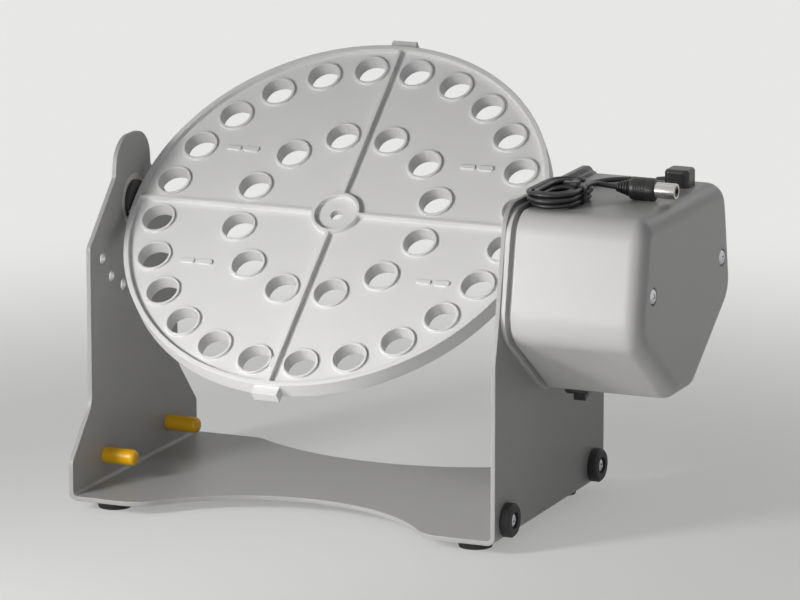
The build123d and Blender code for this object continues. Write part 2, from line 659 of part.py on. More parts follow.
def lead_coil():
    """The coil's turns as one oval ring, whose upper part overhangs the housing's base plate."""
    top = COVER_TOP_Z + COIL_HEIGHT
    body = rounded_block(COIL_OUT[0], COIL_OUT[1], *COIL_Y, COVER_TOP_Z, top, 3.2)
    body += rounded_block(COIL_OVERHANG, COIL_OUT[1], *COIL_Y, COVER_TOP_Z + COIL_OVERHANG_UP, top, 3.2)
    (x0, x1), (y0, y1) = COIL_OPENING
    body -= rounded_block(x0, x1, y0, y1, COVER_TOP_Z - 1, top + 1, 4.1)
    return body - tie_band()


def tie_band():
    x0, x1 = COIL_OPENING[0][1] - 0.1, COIL_OUT[1] + 0.1
    y0, y1 = TIE_Y - TIE_WIDTH / 2, TIE_Y + TIE_WIDTH / 2
    top = COVER_TOP_Z + COIL_HEIGHT
    outer = block(x0 - TIE, x1 + TIE, y0, y1, COVER_TOP_Z, top + TIE)
    return outer - block(x0, x1, y0 - 1, y1 + 1, COVER_TOP_Z + TIE, top)


def lead_plug():
    """Barrel plug lying on the housing, pointing away from the disc."""
    back = along_x(PLUG_BACK, PLUG_Y, PLUG_Z)
    boot = back * Cone(1.7, 3.2, 5, align=LOW)
    body = back * Pos(0, 0, 5) * Cylinder(4.0, 9.5, align=LOW)
    body = chamfer(body.edges().sort_by(Axis.X)[-1], 0.8)
    barrel = back * Pos(0, 0, 14.5) * (Cylinder(2.75, 7.5, align=LOW) - Cylinder(1.1, 8, align=LOW))
    return boot + body + barrel


PARTS = {
    "bracket": bracket, "rubber_feet": rubber_feet, "side_bumpers": side_bumpers,
    "bumper_screws": bumper_screws, "bumper_nuts": bumper_nuts, "screw_caps": screw_caps,
    "idler_bush": idler_bush, "drive_bush": drive_bush,
    "tube_disc": lambda: DISC_PLANE * tube_disc(),
    "idler_hub": idler_hub, "idler_clip": idler_clip, "drive_hub": drive_hub,
    "drive_shaft": drive_shaft, "drive_pin": drive_pin, "output_gear": output_gear,
    "compound_gear": compound_gear, "gear_stud": gear_stud, "motor_pinion": motor_pinion,
    "motor_shaft": motor_shaft, "gearbox_plate": gearbox_plate, "plate_pillars": plate_pillars,
    "pillar_screws": pillar_screws, "shaft_bearing": shaft_bearing, "motor_can": motor_can,
    "motor_end_cap": motor_end_cap, "motor_screws": motor_screws, "housing_base": housing_base,
    "base_screws": base_screws, "housing_cover": housing_cover, "cover_posts": cover_posts,
    "cover_screws": cover_screws, "switch_body": switch_body, "switch_rocker": switch_rocker,
    "strain_relief": strain_relief, "lead_tube": lead_tube, "lead_coil": lead_coil,
    "lead_tie": tie_band, "lead_plug": lead_plug,
}

os.makedirs("parts", exist_ok=True)
for name, make in PARTS.items():
    save(name, make())
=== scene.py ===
"""Tube rotator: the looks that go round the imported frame."""
import json
import math

import bmesh
import bpy
from mathutils import Matrix, Vector


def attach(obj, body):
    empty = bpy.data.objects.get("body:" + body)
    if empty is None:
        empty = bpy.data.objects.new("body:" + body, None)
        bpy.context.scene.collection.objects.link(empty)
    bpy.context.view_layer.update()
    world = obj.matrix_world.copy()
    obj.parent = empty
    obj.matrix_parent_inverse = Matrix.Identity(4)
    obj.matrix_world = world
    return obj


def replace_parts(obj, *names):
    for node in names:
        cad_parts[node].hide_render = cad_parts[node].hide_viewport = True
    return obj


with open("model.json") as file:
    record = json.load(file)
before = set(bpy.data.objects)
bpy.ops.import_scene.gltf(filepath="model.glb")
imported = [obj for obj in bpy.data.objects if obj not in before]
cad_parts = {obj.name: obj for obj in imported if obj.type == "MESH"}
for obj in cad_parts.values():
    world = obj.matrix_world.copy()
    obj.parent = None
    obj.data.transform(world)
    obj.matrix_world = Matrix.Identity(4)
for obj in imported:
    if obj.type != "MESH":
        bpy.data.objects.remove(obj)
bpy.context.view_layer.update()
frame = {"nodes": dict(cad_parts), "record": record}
nodes = frame["nodes"]

# Millimetres, as in the part's source. "out" is measured along X from the middle of the disc.
MM = 0.001
AXIS_X = -22.8
COVER_TOP_Z = 118.3
LEAD = 1.8                  # thickness of the supply lead
LEAD_GAP = 0.1              # air under its lowest run
LEAD_Z = COVER_TOP_Z + LEAD / 2 + LEAD_GAP


def at(out, y, z):
    """A place in metres in the frame of the part, from millimetres."""
    return Vector((AXIS_X + out, y, z)) * MM


# ---- camera ----
AIM = Vector((0.001, 0.0, 0.0745))
CAMERA_AZIMUTH = math.radians(23.0)
CAMERA_ELEVATION = math.radians(12.7)
CAMERA_DISTANCE = 2.04
LENS = 262
NEAREST = 0.05
FARTHEST = 50


def make_camera():
    """The camera, turned about the point that it aims at."""
    data = bpy.data.cameras.new("camera")
    data.lens = LENS
    camera = bpy.data.objects.new("camera", data)
    bpy.context.scene.collection.objects.link(camera)
    flat = math.cos(CAMERA_ELEVATION)
    back = Vector((math.sin(CAMERA_AZIMUTH) * flat, -math.cos(CAMERA_AZIMUTH) * flat,
                   math.sin(CAMERA_ELEVATION)))
    camera.location = AIM + back * CAMERA_DISTANCE
    camera.rotation_mode = "QUATERNION"
    camera.rotation_quaternion = back.to_track_quat("Z", "Y")
    data.clip_start = NEAREST
    data.clip_end = FARTHEST
    bpy.context.scene.camera = camera


# ---- supply lead ----
# Plan places of the run from the strain relief to the coil.
ROUTE = [(110, 25), (103, 25), (95, 21.5), (90, 13), (88.7, 0.8), (85.1, -4.75)]
LAYER = 1.84                # height of one layer of turns
TIED_LIFT = 0.45            # the tied side stands on the strap
# Each turn's left and right side, its layer, its front and rear reach, and how it rises at the rear.
TURNS = [
    (83.8, 98.61, 0, -31.62, -5.43, (0.36, 0.51, 0.81, 1.0)),
    (85.85, 96.69, 0, -29.89, -6.92, (0.0, 0.31, 1.0, 0.86)),
    (85.11, 96.69, 1, -30.2, -4.61, (0.0, 0.31, 0.78, 0.91)),
    (82.65, 98.61, 1, -32.36, -3.08, (0.0, 0.0, 1.0, 1.0)),
    (84.54, 96.69, 2, -29.17, -0.36, (0.26, 0.51, 0.82, 1.0)),
    (82.08, 98.61, 2, -31.33, None, None),
]
REAR_KNEE = -14.2
FRONT_KNEE = -21.6
KNEE_STEP = 0.8             # the tied side's front knee lies this much further back
FOLD_ANGLES = (22.5, 67.5, 112.5, 157.5)    # where a half turn's control points stand
# From the last turn to the plug.
TAIL = [(98.61, -14.2, 4.54), (98.61, -9.6, 4.5), (99.6, -5.6, 4.1), (103.6, -3.6, 3.0),
        (107.5, -3.6, 3.0)]
PLUG_BACK = 106.0
PLUG_Y = -3.6
PLUG_Z = COVER_TOP_Z + 4.0


def half_turn(x, y, radius, start):
    """Control points of a half circle, counter-clockwise from the angle start."""
    reach = radius / math.cos(math.radians(FOLD_ANGLES[0]))
    angles = [math.radians(start + step) for step in FOLD_ANGLES]
    return [(x + reach * math.cos(angle), y + reach * math.sin(angle)) for angle in angles]


def coil_points():
    """The turns from the first one's left side to the last one's right side."""
    points = []
    for k, (left, right, layer, front, rear, rise) in enumerate(TURNS):
        height = layer * LAYER
        points += [(left, REAR_KNEE, height), (left, FRONT_KNEE, height)]
        radius = (right - left) / 2
        front_fold = half_turn((left + right) / 2, front + radius, radius, 180)
        for i, (x, y) in enumerate(front_fold):
            points.append((x, y, height + TIED_LIFT * (i + 0.5) / len(front_fold)))
        points.append((right, FRONT_KNEE + KNEE_STEP, height + TIED_LIFT))
        if rear is None:
            break
        points.append((right, REAR_KNEE, height + TIED_LIFT))
        next_left = TURNS[k + 1][0]
        next_height = TURNS[k + 1][2] * LAYER
        radius = (right - next_left) / 2
        rear_fold = half_turn((right + next_left) / 2, rear - radius, radius, 0)
        climb = next_height - height - TIED_LIFT
        for (x, y), share in zip(rear_fold, rise):
            points.append((x, y, height + TIED_LIFT + climb * share))
    return points


def make_lead():
    """The whole lead as one smooth tube."""
    points = [(x, y, 0) for x, y in ROUTE] + coil_points() + TAIL
    curve = bpy.data.curves.new("lead", "CURVE")
    curve.dimensions = "3D"
    spline = curve.splines.new("NURBS")
    spline.points.add(len(points) - 1)
    for point, (x, y, height) in zip(spline.points, points):
        point.co = (*at(x, y, LEAD_Z + height), 1)
    spline.order_u = 3
    spline.use_endpoint_u = True
    curve.resolution_u = 8
    curve.bevel_depth = LEAD / 2 * MM
    curve.bevel_resolution = 4
    curve.use_fill_caps = True
    lead = bpy.data.objects.new("lead", curve)
    bpy.context.scene.collection.objects.link(lead)
    return lead


# ---- mesh helpers ----
def new_piece(name, work, material, smooth):
    """A piece of the stand from a bmesh, with faces smoothed up to the given angle."""
    mesh = bpy.data.meshes.new(name)
    work.normal_update()
    for face in work.faces:
        face.smooth = True
    for edge in work.edges:
        edge.smooth = len(edge.link_faces) == 2 and edge.calc_face_angle(3) < math.radians(smooth)
    work.to_mesh(mesh)
    work.free()
    piece = bpy.data.objects.new(name, mesh)
    bpy.context.scene.collection.objects.link(piece)
    mesh.materials.append(material)
    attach(piece, "stand")
    return piece


def facing(origin, direction):
    """Matrix whose Z axis points along direction from origin."""
    turn = Vector(direction).to_track_quat("Z", "Y").to_matrix().to_4x4()
    return Matrix.Translation(origin) @ turn


def lathe(work, profile, place, segments):
    """Turns (distance, radius) points, in millimetres, round the place's Z axis."""
    rings = []
    for distance, radius in profile:
        if radius == 0:
            rings.append([work.verts.new(place @ Vector((0, 0, distance * MM)))])
            continue
        ring = []
        for k in range(segments):
            angle = 2 * math.pi * k / segments
            spot = Vector((radius * math.cos(angle), radius * math.sin(angle), distance)) * MM
            ring.append(work.verts.new(place @ spot))
        rings.append(ring)
    for low, high in zip(rings, rings[1:]):
        for k in range(segments):
            after = (k + 1) % segments
            corners = [low[k % len(low)], low[after % len(low)], high[after % len(high)],
                       high[k % len(high)]]
            loop = []
            for corner in corners:
                if corner not in loop:
                    loop.append(corner)
            work.faces.new(loop)


def carved(work, cutter):
    """The first mesh with the second cut out of it, as a new bmesh."""
    objects = []
    for source in (work, cutter):
        bmesh.ops.recalc_face_normals(source, faces=source.faces)
        mesh = bpy.data.meshes.new("carving")
        source.to_mesh(mesh)
        source.free()
        holder = bpy.data.objects.new("carving", mesh)
        bpy.context.scene.collection.objects.link(holder)
        objects.append(holder)
    cut = objects[0].modifiers.new("cut", "BOOLEAN")
    cut.operation = "DIFFERENCE"
    cut.solver = "EXACT"
    cut.use_self = True
    cut.object = objects[1]
    graph = bpy.context.evaluated_depsgraph_get()
    result = bmesh.new()
    result.from_object(objects[0], graph)
    for holder in objects:
        mesh = holder.data
        bpy.data.objects.remove(holder)
        bpy.data.meshes.remove(mesh)
    return result


CROSS_ARM = 1.5
CROSS_WIDTH = 0.33
# Height above the head's top and share of the arm's length, for the cutter's upper and lower end.
CROSS_TAPER = ((0.5, 1.15), (-1.1, 0.45))
ARM_CORNERS = ((-1, -1), (1, -1), (1, 1), (-1, 1))
ARM_FACES = ((3, 2, 1, 0), (4, 5, 6, 7), (0, 1, 5, 4), (1, 2, 6, 5), (2, 3, 7, 6), (3, 0, 4, 7))


def cross_cutter(work, place):
    """Tapered cross that makes a screw's recess; the place is on top of the head."""
    for turn in (0, math.pi / 2):
        spin = place @ Matrix.Rotation(turn, 4, "Z")
        corners = []
        for height, share in CROSS_TAPER:
            half_width = CROSS_WIDTH * (0.6 + 0.4 * share)
            for x, y in ARM_CORNERS:
                spot = Vector((x * CROSS_ARM * share, y * half_width, height)) * MM
                corners.append(work.verts.new(spin @ spot))
        for face in ARM_FACES:
            work.faces.new([corners[i] for i in face])


# ---- node helpers ----
def put(tree, kind, values=None, **settings):
    """Adds a node; values gives its inputs a number, a colour or another node's output."""
    node = tree.nodes.new(kind)
    for key, value in settings.items():
        setattr(node, key, value)
    for socket, value in (values or {}).items():
        if isinstance(value, bpy.types.NodeSocket):
            tree.links.new(value, node.inputs[socket])
        else:
            node.inputs[socket].default_value = value
    return node


def calc(tree, operation, first, second, clamp=False):
    """Arithmetic on two values."""
    return put(tree, "ShaderNodeMath", {0: first, 1: second}, operation=operation,
               use_clamp=clamp).outputs[0]


def mix_colour(tree, factor, first, second):
    """The first colour where the factor is 0, the second where it is 1."""
    return put(tree, "ShaderNodeMix", {0: factor, 6: first, 7: second}, data_type="RGBA").outputs[2]


def remap(tree, value, low, high, to_low=0.0, to_high=1.0):
    """A smooth step from to_low to to_high as the value goes from low to high."""
    return put(tree, "ShaderNodeMapRange",
               {"Value": value, "From Min": low, "From Max": high, "To Min": to_low, "To Max": to_high},
               interpolation_type="SMOOTHSTEP").outputs[0]


def new_group(name, inputs, outputs):
    """A shader node group with float inputs and the given outputs, and its two end nodes."""
    tree = bpy.data.node_groups.new(name, "ShaderNodeTree")
    for label, value in inputs:
        socket = tree.interface.new_socket(label, in_out="INPUT", socket_type="NodeSocketFloat")
        socket.default_value = value
    for label, kind in outputs:
        tree.interface.new_socket(label, in_out="OUTPUT", socket_type=kind)
    given = tree.nodes.new("NodeGroupInput")
    result = tree.nodes.new("NodeGroupOutput")
    return tree, given.outputs, result.inputs


def use(tree, group, **values):
    """Places a shared effect with its own values, and gives its outputs."""
    return put(tree, "ShaderNodeGroup", values, node_tree=group).outputs


def object_place(tree):
    """The place on the piece, in metres."""
    return put(tree, "ShaderNodeTexCoord").outputs["Object"]


# ---- shared effects ----
def rounded_edges_group():
    """Softens sharp edges, and finds them for wear or build-up, and for a painted highlight."""
    tree, given, result = new_group("rounded_edges", [("Radius", 0.0004)],
                                    [("Normal", "NodeSocketVector"), ("Edge", "NodeSocketFloat")])
    bevel = put(tree, "ShaderNodeBevel", {"Radius": given["Radius"]}, samples=6)
    plain = put(tree, "ShaderNodeNewGeometry")
    along = put(tree, "ShaderNodeVectorMath", {0: bevel.outputs[0], 1: plain.outputs["Normal"]},
                operation="DOT_PRODUCT").outputs["Value"]
    tree.links.new(bevel.outputs[0], result["Normal"])
    tree.links.new(remap(tree, along, 0.97, 0.72), result["Edge"])
    return tree


def fine_grain_group():
    """The fine texture of a moulded or painted skin."""
    tree, given, result = new_group("fine_grain", [("Scale", 1500.0), ("Pits", 0.3)],
                                    [("Height", "NodeSocketFloat")])
    place = object_place(tree)
    skin = put(tree, "ShaderNodeTexNoise", {"Vector": place, "Scale": given["Scale"], "Detail": 3.0,
                                            "Roughness": 0.6}).outputs[0]
    cells = put(tree, "ShaderNodeTexVoronoi", {"Vector": place, "Scale": given["Scale"]},
                feature="SMOOTH_F1").outputs["Distance"]
    pits = calc(tree, "MULTIPLY", cells, given["Pits"])
    tree.links.new(calc(tree, "ADD", skin, pits), result["Height"])
    return tree


def tone_drift_group():
    """Slow change of tone across a surface, with a few small specks."""
    tree, given, result = new_group("tone_drift", [("Scale", 14.0), ("Specks", 0.3)],
                                    [("Drift", "NodeSocketFloat")])
    place = object_place(tree)
    slow = put(tree, "ShaderNodeTexNoise", {"Vector": place, "Scale": given["Scale"], "Detail": 5.0,
                                            "Roughness": 0.55}).outputs[0]
    quick = put(tree, "ShaderNodeTexNoise", {"Vector": place, "Scale": 420.0, "Detail": 2.0}).outputs[0]
    specks = calc(tree, "MULTIPLY", remap(tree, quick, 0.62, 0.78), given["Specks"])
    drift = calc(tree, "ADD", remap(tree, slow, 0.3, 0.7), specks, clamp=True)
    tree.links.new(drift, result["Drift"])
    return tree


def rubbing_group():
    """Fine scuffs in several directions."""
    tree, given, result = new_group("rubbing", [("Scale", 60.0)], [("Scuff", "NodeSocketFloat")])
    place = object_place(tree)
    total = None
    for turn, stretch in (((0.3, 0.2, 0.5), (1, 14, 6)), ((1.1, 0.7, -0.4), (12, 1, 9))):
        mapped = put(tree, "ShaderNodeMapping", {"Vector": place, "Rotation": turn, "Scale": stretch})
        lines = put(tree, "ShaderNodeTexNoise", {"Vector": mapped.outputs[0], "Scale": given["Scale"],
                                                 "Detail": 6.0, "Roughness": 0.7}).outputs[0]
        one = remap(tree, lines, 0.58, 0.7)
        total = one if total is None else calc(tree, "MAXIMUM", total, one)
    tree.links.new(total, result["Scuff"])
    return tree


def dust_group():
    """Dust that has settled on faces that look up."""
    tree, given, result = new_group("settled_dust", [("Amount", 0.3)], [("Dust", "NodeSocketFloat")])
    coordinates = put(tree, "ShaderNodeTexCoord")
    up = put(tree, "ShaderNodeSeparateXYZ", {0: coordinates.outputs["Normal"]}).outputs["Z"]
    drift = put(tree, "ShaderNodeTexNoise", {"Vector": coordinates.outputs["Object"], "Scale": 160.0,
                                             "Detail": 6.0, "Roughness": 0.7}).outputs[0]
    dust = calc(tree, "MULTIPLY", remap(tree, up, 0.25, 0.95), remap(tree, drift, 0.3, 0.75))
    tree.links.new(calc(tree, "MULTIPLY", dust, given["Amount"]), result["Dust"])
    return tree


ROUNDED_EDGES = rounded_edges_group()
FINE_GRAIN = fine_grain_group()
TONE_DRIFT = tone_drift_group()
RUBBING = rubbing_group()
DUST = dust_group()


def grey(value, warmth=0.0):
    """A grey, or a slightly warm one."""
    return (value * (1 + warmth), value, value * (1 - warmth), 1)


def new_material(name):
    """An empty material with its main shader joined to its output."""
    material = bpy.data.materials.new(name)
    material.use_nodes = True
    tree = material.node_tree
    tree.nodes.clear()
    shader = tree.nodes.new("ShaderNodeBsdfPrincipled")
    output = tree.nodes.new("ShaderNodeOutputMaterial")
    tree.links.new(shader.outputs[0], output.inputs["Surface"])
    return material, tree, shader


# ---- finishes ----
WEAR_AND_HIGHLIGHT_SHARE = 0.6            # how much of the lighter edge colour, part wear and part painted highlight, a sharp edge takes
DRIFT_ROUGHNESS = 0.06      # how much rougher the second tone is
DUST_COLOUR = (0.42, 0.41, 0.39, 1)
PLASTIC_IOR = 1.5
RUBBED_SHARE = 0.5          # how much of the bright colour a rubbed metal edge takes
BRIGHTER = 1.25             # a rubbed metal edge against its face


def skin(name, colour, second, wear_and_highlight_colour, roughness, grain, depth, edge=0.0004, dust=0.0,
         scuffs=0.1, drift_scale=14.0):
    """A moulded, painted or rubber surface with grain, drift of tone, lighter edges (part wear, part
    painted highlight), scuffs and dust.
    """
    material, tree, shader = new_material(name)
    drift = use(tree, TONE_DRIFT, Scale=drift_scale, Specks=0.3)["Drift"]
    edges = use(tree, ROUNDED_EDGES, Radius=edge)
    scuff = use(tree, RUBBING)["Scuff"]
    base = mix_colour(tree, drift, colour, second)
    # Sharp edges take a lighter colour: partly wear, partly a painted highlight.
    wear_and_highlight_mask = calc(tree, "MULTIPLY", edges["Edge"], WEAR_AND_HIGHLIGHT_SHARE)
    base = mix_colour(tree, wear_and_highlight_mask, base, wear_and_highlight_colour)
    if dust:
        settled = use(tree, DUST, Amount=dust)["Dust"]
        base = mix_colour(tree, settled, base, DUST_COLOUR)
    tree.links.new(base, shader.inputs["Base Color"])
    rough = calc(tree, "ADD", calc(tree, "MULTIPLY", scuff, scuffs), roughness)
    change = calc(tree, "MULTIPLY", drift, DRIFT_ROUGHNESS)
    tree.links.new(calc(tree, "ADD", rough, change, clamp=True), shader.inputs["Roughness"])
    height = use(tree, FINE_GRAIN, Scale=grain, Pits=0.3)["Height"]
    bump = put(tree, "ShaderNodeBump", {"Height": height, "Distance": depth, "Strength": 0.6,
                                        "Normal": edges["Normal"]})
    tree.links.new(bump.outputs[0], shader.inputs["Normal"])
    shader.inputs["IOR"].default_value = PLASTIC_IOR
    return material


def metal(name, colour, second, roughness, brushing=(1, 30, 30)):
    """Metal with fine tool marks, tone drift and bright rubbed edges."""
    material, tree, shader = new_material(name)
    drift = use(tree, TONE_DRIFT, Scale=80.0, Specks=0.4)["Drift"]
    edges = use(tree, ROUNDED_EDGES, Radius=0.0002)
    mapped = put(tree, "ShaderNodeMapping", {"Vector": object_place(tree), "Scale": brushing})
    marks = put(tree, "ShaderNodeTexNoise", {"Vector": mapped.outputs[0], "Scale": 90.0, "Detail": 8.0,
                                             "Roughness": 0.7}).outputs[0]
    base = mix_colour(tree, drift, colour, second)
    bright = tuple(min(1.0, BRIGHTER * part) for part in colour[:3]) + (1,)
    rubbed = calc(tree, "MULTIPLY", edges["Edge"], RUBBED_SHARE)
    tree.links.new(mix_colour(tree, rubbed, base, bright), shader.inputs["Base Color"])
    tree.links.new(remap(tree, marks, 0.3, 0.7, roughness - 0.06, roughness + 0.1),
                   shader.inputs["Roughness"])
    bump = put(tree, "ShaderNodeBump", {"Height": marks, "Distance": 0.00004, "Strength": 0.5,
                                        "Normal": edges["Normal"]})
    tree.links.new(bump.outputs[0], shader.inputs["Normal"])
    shader.inputs["Metallic"].default_value = 1.0
    return material


# The third colour of each skin is its lighter edge colour, part wear and part painted highlight.
PAINT = skin("bracket_paint", grey(0.39, 0.008), grey(0.42, 0.004), grey(0.72), 0.42, 950.0, 0.00006,
             edge=0.0005, scuffs=0.12, dust=0.05)
HOUSING = skin("housing_plastic", grey(0.63, 0.01), grey(0.66, 0.004), grey(0.77), 0.36, 2200.0,
               0.00003, edge=0.0006, scuffs=0.1, dust=0.04)
DISC = skin("disc_plastic", grey(0.76, 0.004), grey(0.79), grey(0.86), 0.34, 2600.0, 0.00002,
            edge=0.0004, scuffs=0.14)
BLACK = skin("black_plastic", grey(0.016), grey(0.022), grey(0.06), 0.36, 1800.0, 0.00004,
             edge=0.0003, dust=0.05, scuffs=0.2)
RUBBER = skin("black_rubber", grey(0.018), grey(0.026), grey(0.05), 0.62, 1300.0, 0.00006,
              edge=0.0005, dust=0.12, scuffs=0.15)
VINYL = skin("yellow_vinyl", (0.80, 0.42, 0.002, 1), (0.86, 0.48, 0.004, 1), (0.92, 0.56, 0.01, 1), 0.3,
             700.0, 0.00005, edge=0.0006, scuffs=0.1, drift_scale=120.0)
ACETAL = skin("acetal", grey(0.72, 0.03), grey(0.76, 0.02), grey(0.84, 0.02), 0.32, 2000.0, 0.00002,
              edge=0.0002)
JACKET = skin("lead_jacket", grey(0.012), grey(0.018), grey(0.03), 0.34, 1500.0, 0.00003, edge=0.0002,
              dust=0.03, scuffs=0.12, drift_scale=60.0)
STEEL = metal("steel", (0.55, 0.54, 0.52, 1), (0.48, 0.47, 0.46, 1), 0.28)
ZINC = metal("zinc", (0.60, 0.61, 0.62, 1), (0.50, 0.51, 0.53, 1), 0.30, brushing=(20, 20, 20))
BRONZE = metal("bronze", (0.52, 0.33, 0.15, 1), (0.44, 0.27, 0.12, 1), 0.34)

# The finish of each material slot.
FINISHES = {
    "bracket_paint": PAINT, "housing_plastic": HOUSING, "disc_plastic": DISC,
    "black_plastic": BLACK, "black_rubber": RUBBER, "yellow_vinyl": VINYL,
    "acetal": ACETAL, "lead_jacket": JACKET,
    "steel": STEEL, "zinc": ZINC, "bronze": BRONZE,
}


def finish_nodes():
    """Gives every node the finish of its slot."""
    for part in frame["record"]["subparts"]:
        node = nodes[part["node"]]
        node.data.materials.clear()
        node.data.materials.append(FINISHES[part["material_slot"]])


# ---- screws ----
# Distances along X from the middle of the disc; places on an upright or the cover as Y and Z.
UPRIGHT_OUT = 80.8
UPRIGHT_IN = 79.2
HOUSING_END = 130.8
LEFT_BUMPERS = ((-25.5, 14.3), (27.0, 14.3))
RIGHT_BUMPERS = ((-41.5, 11.0), (41.5, 11.0))
COVER_SCREWS = ((-33, 91.8), (35, 91.8))
BASE_SCREWS = ((-28, 108.8), (28, 108.8), (-20, 65.8), (20, 65.8))
BUMPER_SEAT = 1.5           # floor of a bumper's pocket, out from the upright
COVER_RECESS = 1.2          # depth of a cover screw's recess
BUMPER_SHANK = 6.3
COVER_SHANK = 6.0
FLAT_SHANK = 6.0
SHANK_RADIUS = 1.3
# Profiles are distances above the seat and radii.
PAN_TOP = 1.7
PAN_HEAD = [(0, 2.55), (0.25, 2.75), (0.7, 2.72), (1.15, 2.4), (1.45, 1.9), (1.62, 1.2), (PAN_TOP, 0)]
FLAT_HEAD = [(-0.25, 2.85), (-0.05, 2.9), (0.03, 2.8), (0.05, 0)]
HEAD_BOTTOM = -1.6          # where a countersunk head meets its shank
SCREW_TURNS = (0.4, 1.1, 0.2, 0.9)
SCREW_SEGMENTS = 40
CRISP = 35                  # smoothing angle of turned metal and moulded plugs, in degrees


def screw_set(name, seats, shank, neck, head, top, replaced):
    """Screws with a cross recess; a seat is a place under the head and the way that it faces."""
    profile = [(-shank, 0), (-shank, SHANK_RADIUS), (neck, SHANK_RADIUS)] + head
    work = bmesh.new()
    cutter = bmesh.new()
    for (origin, direction), turn in zip(seats, SCREW_TURNS):
        place = facing(origin, direction) @ Matrix.Rotation(turn, 4, "Z")
        lathe(work, profile, place, SCREW_SEGMENTS)
        cross_cutter(cutter, place @ Matrix.Translation((0, 0, top * MM)))
    screws = new_piece(name, carved(work, cutter), ZINC, CRISP)
    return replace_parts(screws, replaced)


def make_screws():
    """Pan heads in the bumpers and the cover, countersunk heads flush with the right upright."""
    outward = (1, 0, 0)
    inward = (-1, 0, 0)
    bumpers = [(at(-UPRIGHT_OUT - BUMPER_SEAT, y, z), inward) for y, z in LEFT_BUMPERS]
    bumpers += [(at(UPRIGHT_OUT + BUMPER_SEAT, y, z), outward) for y, z in RIGHT_BUMPERS]
    screw_set("bumper_screw_heads", bumpers, BUMPER_SHANK, 0, PAN_HEAD, PAN_TOP, "bumper_screws")
    cover = [(at(HOUSING_END - COVER_RECESS, y, z), outward) for y, z in COVER_SCREWS]
    screw_set("cover_screw_heads", cover, COVER_SHANK, 0, PAN_HEAD, PAN_TOP, "cover_screws")
    base = [(at(UPRIGHT_IN, y, z), inward) for y, z in BASE_SCREWS]
    screw_set("base_screw_heads", base, FLAT_SHANK, HEAD_BOTTOM, FLAT_HEAD, 0, "base_screws")


# ---- plug, tie ----
# Profiles are distances from the plug's back end and radii.
BOOT_BACK = [(0, 0), (0, 1.35), (0.2, 1.55)]
BOOT_RIBS = 4
SHOULDER = [(5.15, 3.2), (5.7, 3.8), (6.3, 4.0), (7.2, 4.0)]
GRIP_GROOVES = 5
GRIP_RADIUS = 4.0
GROOVE_RADIUS = 3.82
BODY_FRONT = [(13.6, 4.0), (14.2, 3.8), (14.5, 3.3), (14.5, 0)]
BARREL = [(14.4, 0), (14.4, 2.75), (21.6, 2.75), (21.9, 2.6), (21.9, 1.9), (16.5, 1.9), (16.5, 0)]
TIP = [(16.4, 0), (16.4, 1.9), (21.8, 1.9), (22.0, 1.75), (22.0, 1.1), (16.9, 1.1), (16.9, 0)]


def plug_body_profile():
    """Boot with ribs that grow towards the body, then the body with its grip grooves."""
    profile = list(BOOT_BACK)
    for k in range(BOOT_RIBS):
        start = 0.7 + 1.1 * k
        radius = 1.8 + 0.35 * k
        profile += [(start, radius), (start + 0.55, radius), (start + 0.6, radius - 0.42),
                    (start + 1.05, radius - 0.38)]
    profile += SHOULDER
    for k in range(GRIP_GROOVES):
        start = 7.4 + 0.9 * k
        profile += [(start, GRIP_RADIUS), (start + 0.12, GROOVE_RADIUS),
                    (start + 0.42, GROOVE_RADIUS), (start + 0.54, GRIP_RADIUS)]
    return profile + BODY_FRONT


def make_plug():
    """Barrel plug: ribbed boot and body, plated barrel, insulating tip."""
    place = facing(at(PLUG_BACK, PLUG_Y, PLUG_Z), (1, 0, 0))
    pieces = []
    for name, profile, segments, material, slot in (
            ("plug_body", plug_body_profile(), 56, BLACK, "black_plastic"),
            ("plug_barrel", BARREL, 48, STEEL, "steel"),
            ("plug_tip", TIP, 40, BLACK, "black_plastic")):
        work = bmesh.new()
        lathe(work, profile, place, segments)
        pieces.append(new_piece(name, work, material, CRISP))
    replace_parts(pieces[0], "lead_plug")
    return pieces


TIE_Y = -17.5
TIE_WIDTH = 2.8
TIE_BOX = (95.4, 99.9, COVER_TOP_Z + 0.3, COVER_TOP_Z + 6.35)     # middle of the strap
TIE_BEND = 1.5              # radius of the strap's corners
TIE_SMOOTH = 50
BEND_STEPS = 6
# The strap's section: share of its width, and height from its middle.
STRAP = [(-0.5, -0.26), (-0.44, -0.3), (0.44, -0.3), (0.5, -0.26), (0.5, 0.12), (0.4, 0.28),
         (-0.4, 0.28), (-0.5, 0.12)]
# Middle along X, rise above the strap's top, and size.
CATCH = (96.2, 0.65, (2.6, 3.8, 1.7))
TRIMMED_END = (93.8, 0.8, (3.2, 2.5, 0.7))
BLOCK_EDGE = 0.22


def strap_block(work, top, middle, rise, size):
    """A small block on top of the strap, and its corners."""
    corners = bmesh.ops.create_cube(work, size=1.0)["verts"]
    for corner in corners:
        x, y, z = corner.co
        corner.co = at(middle + x * size[0], TIE_Y + y * size[1], top + rise + z * size[2])
    return corners


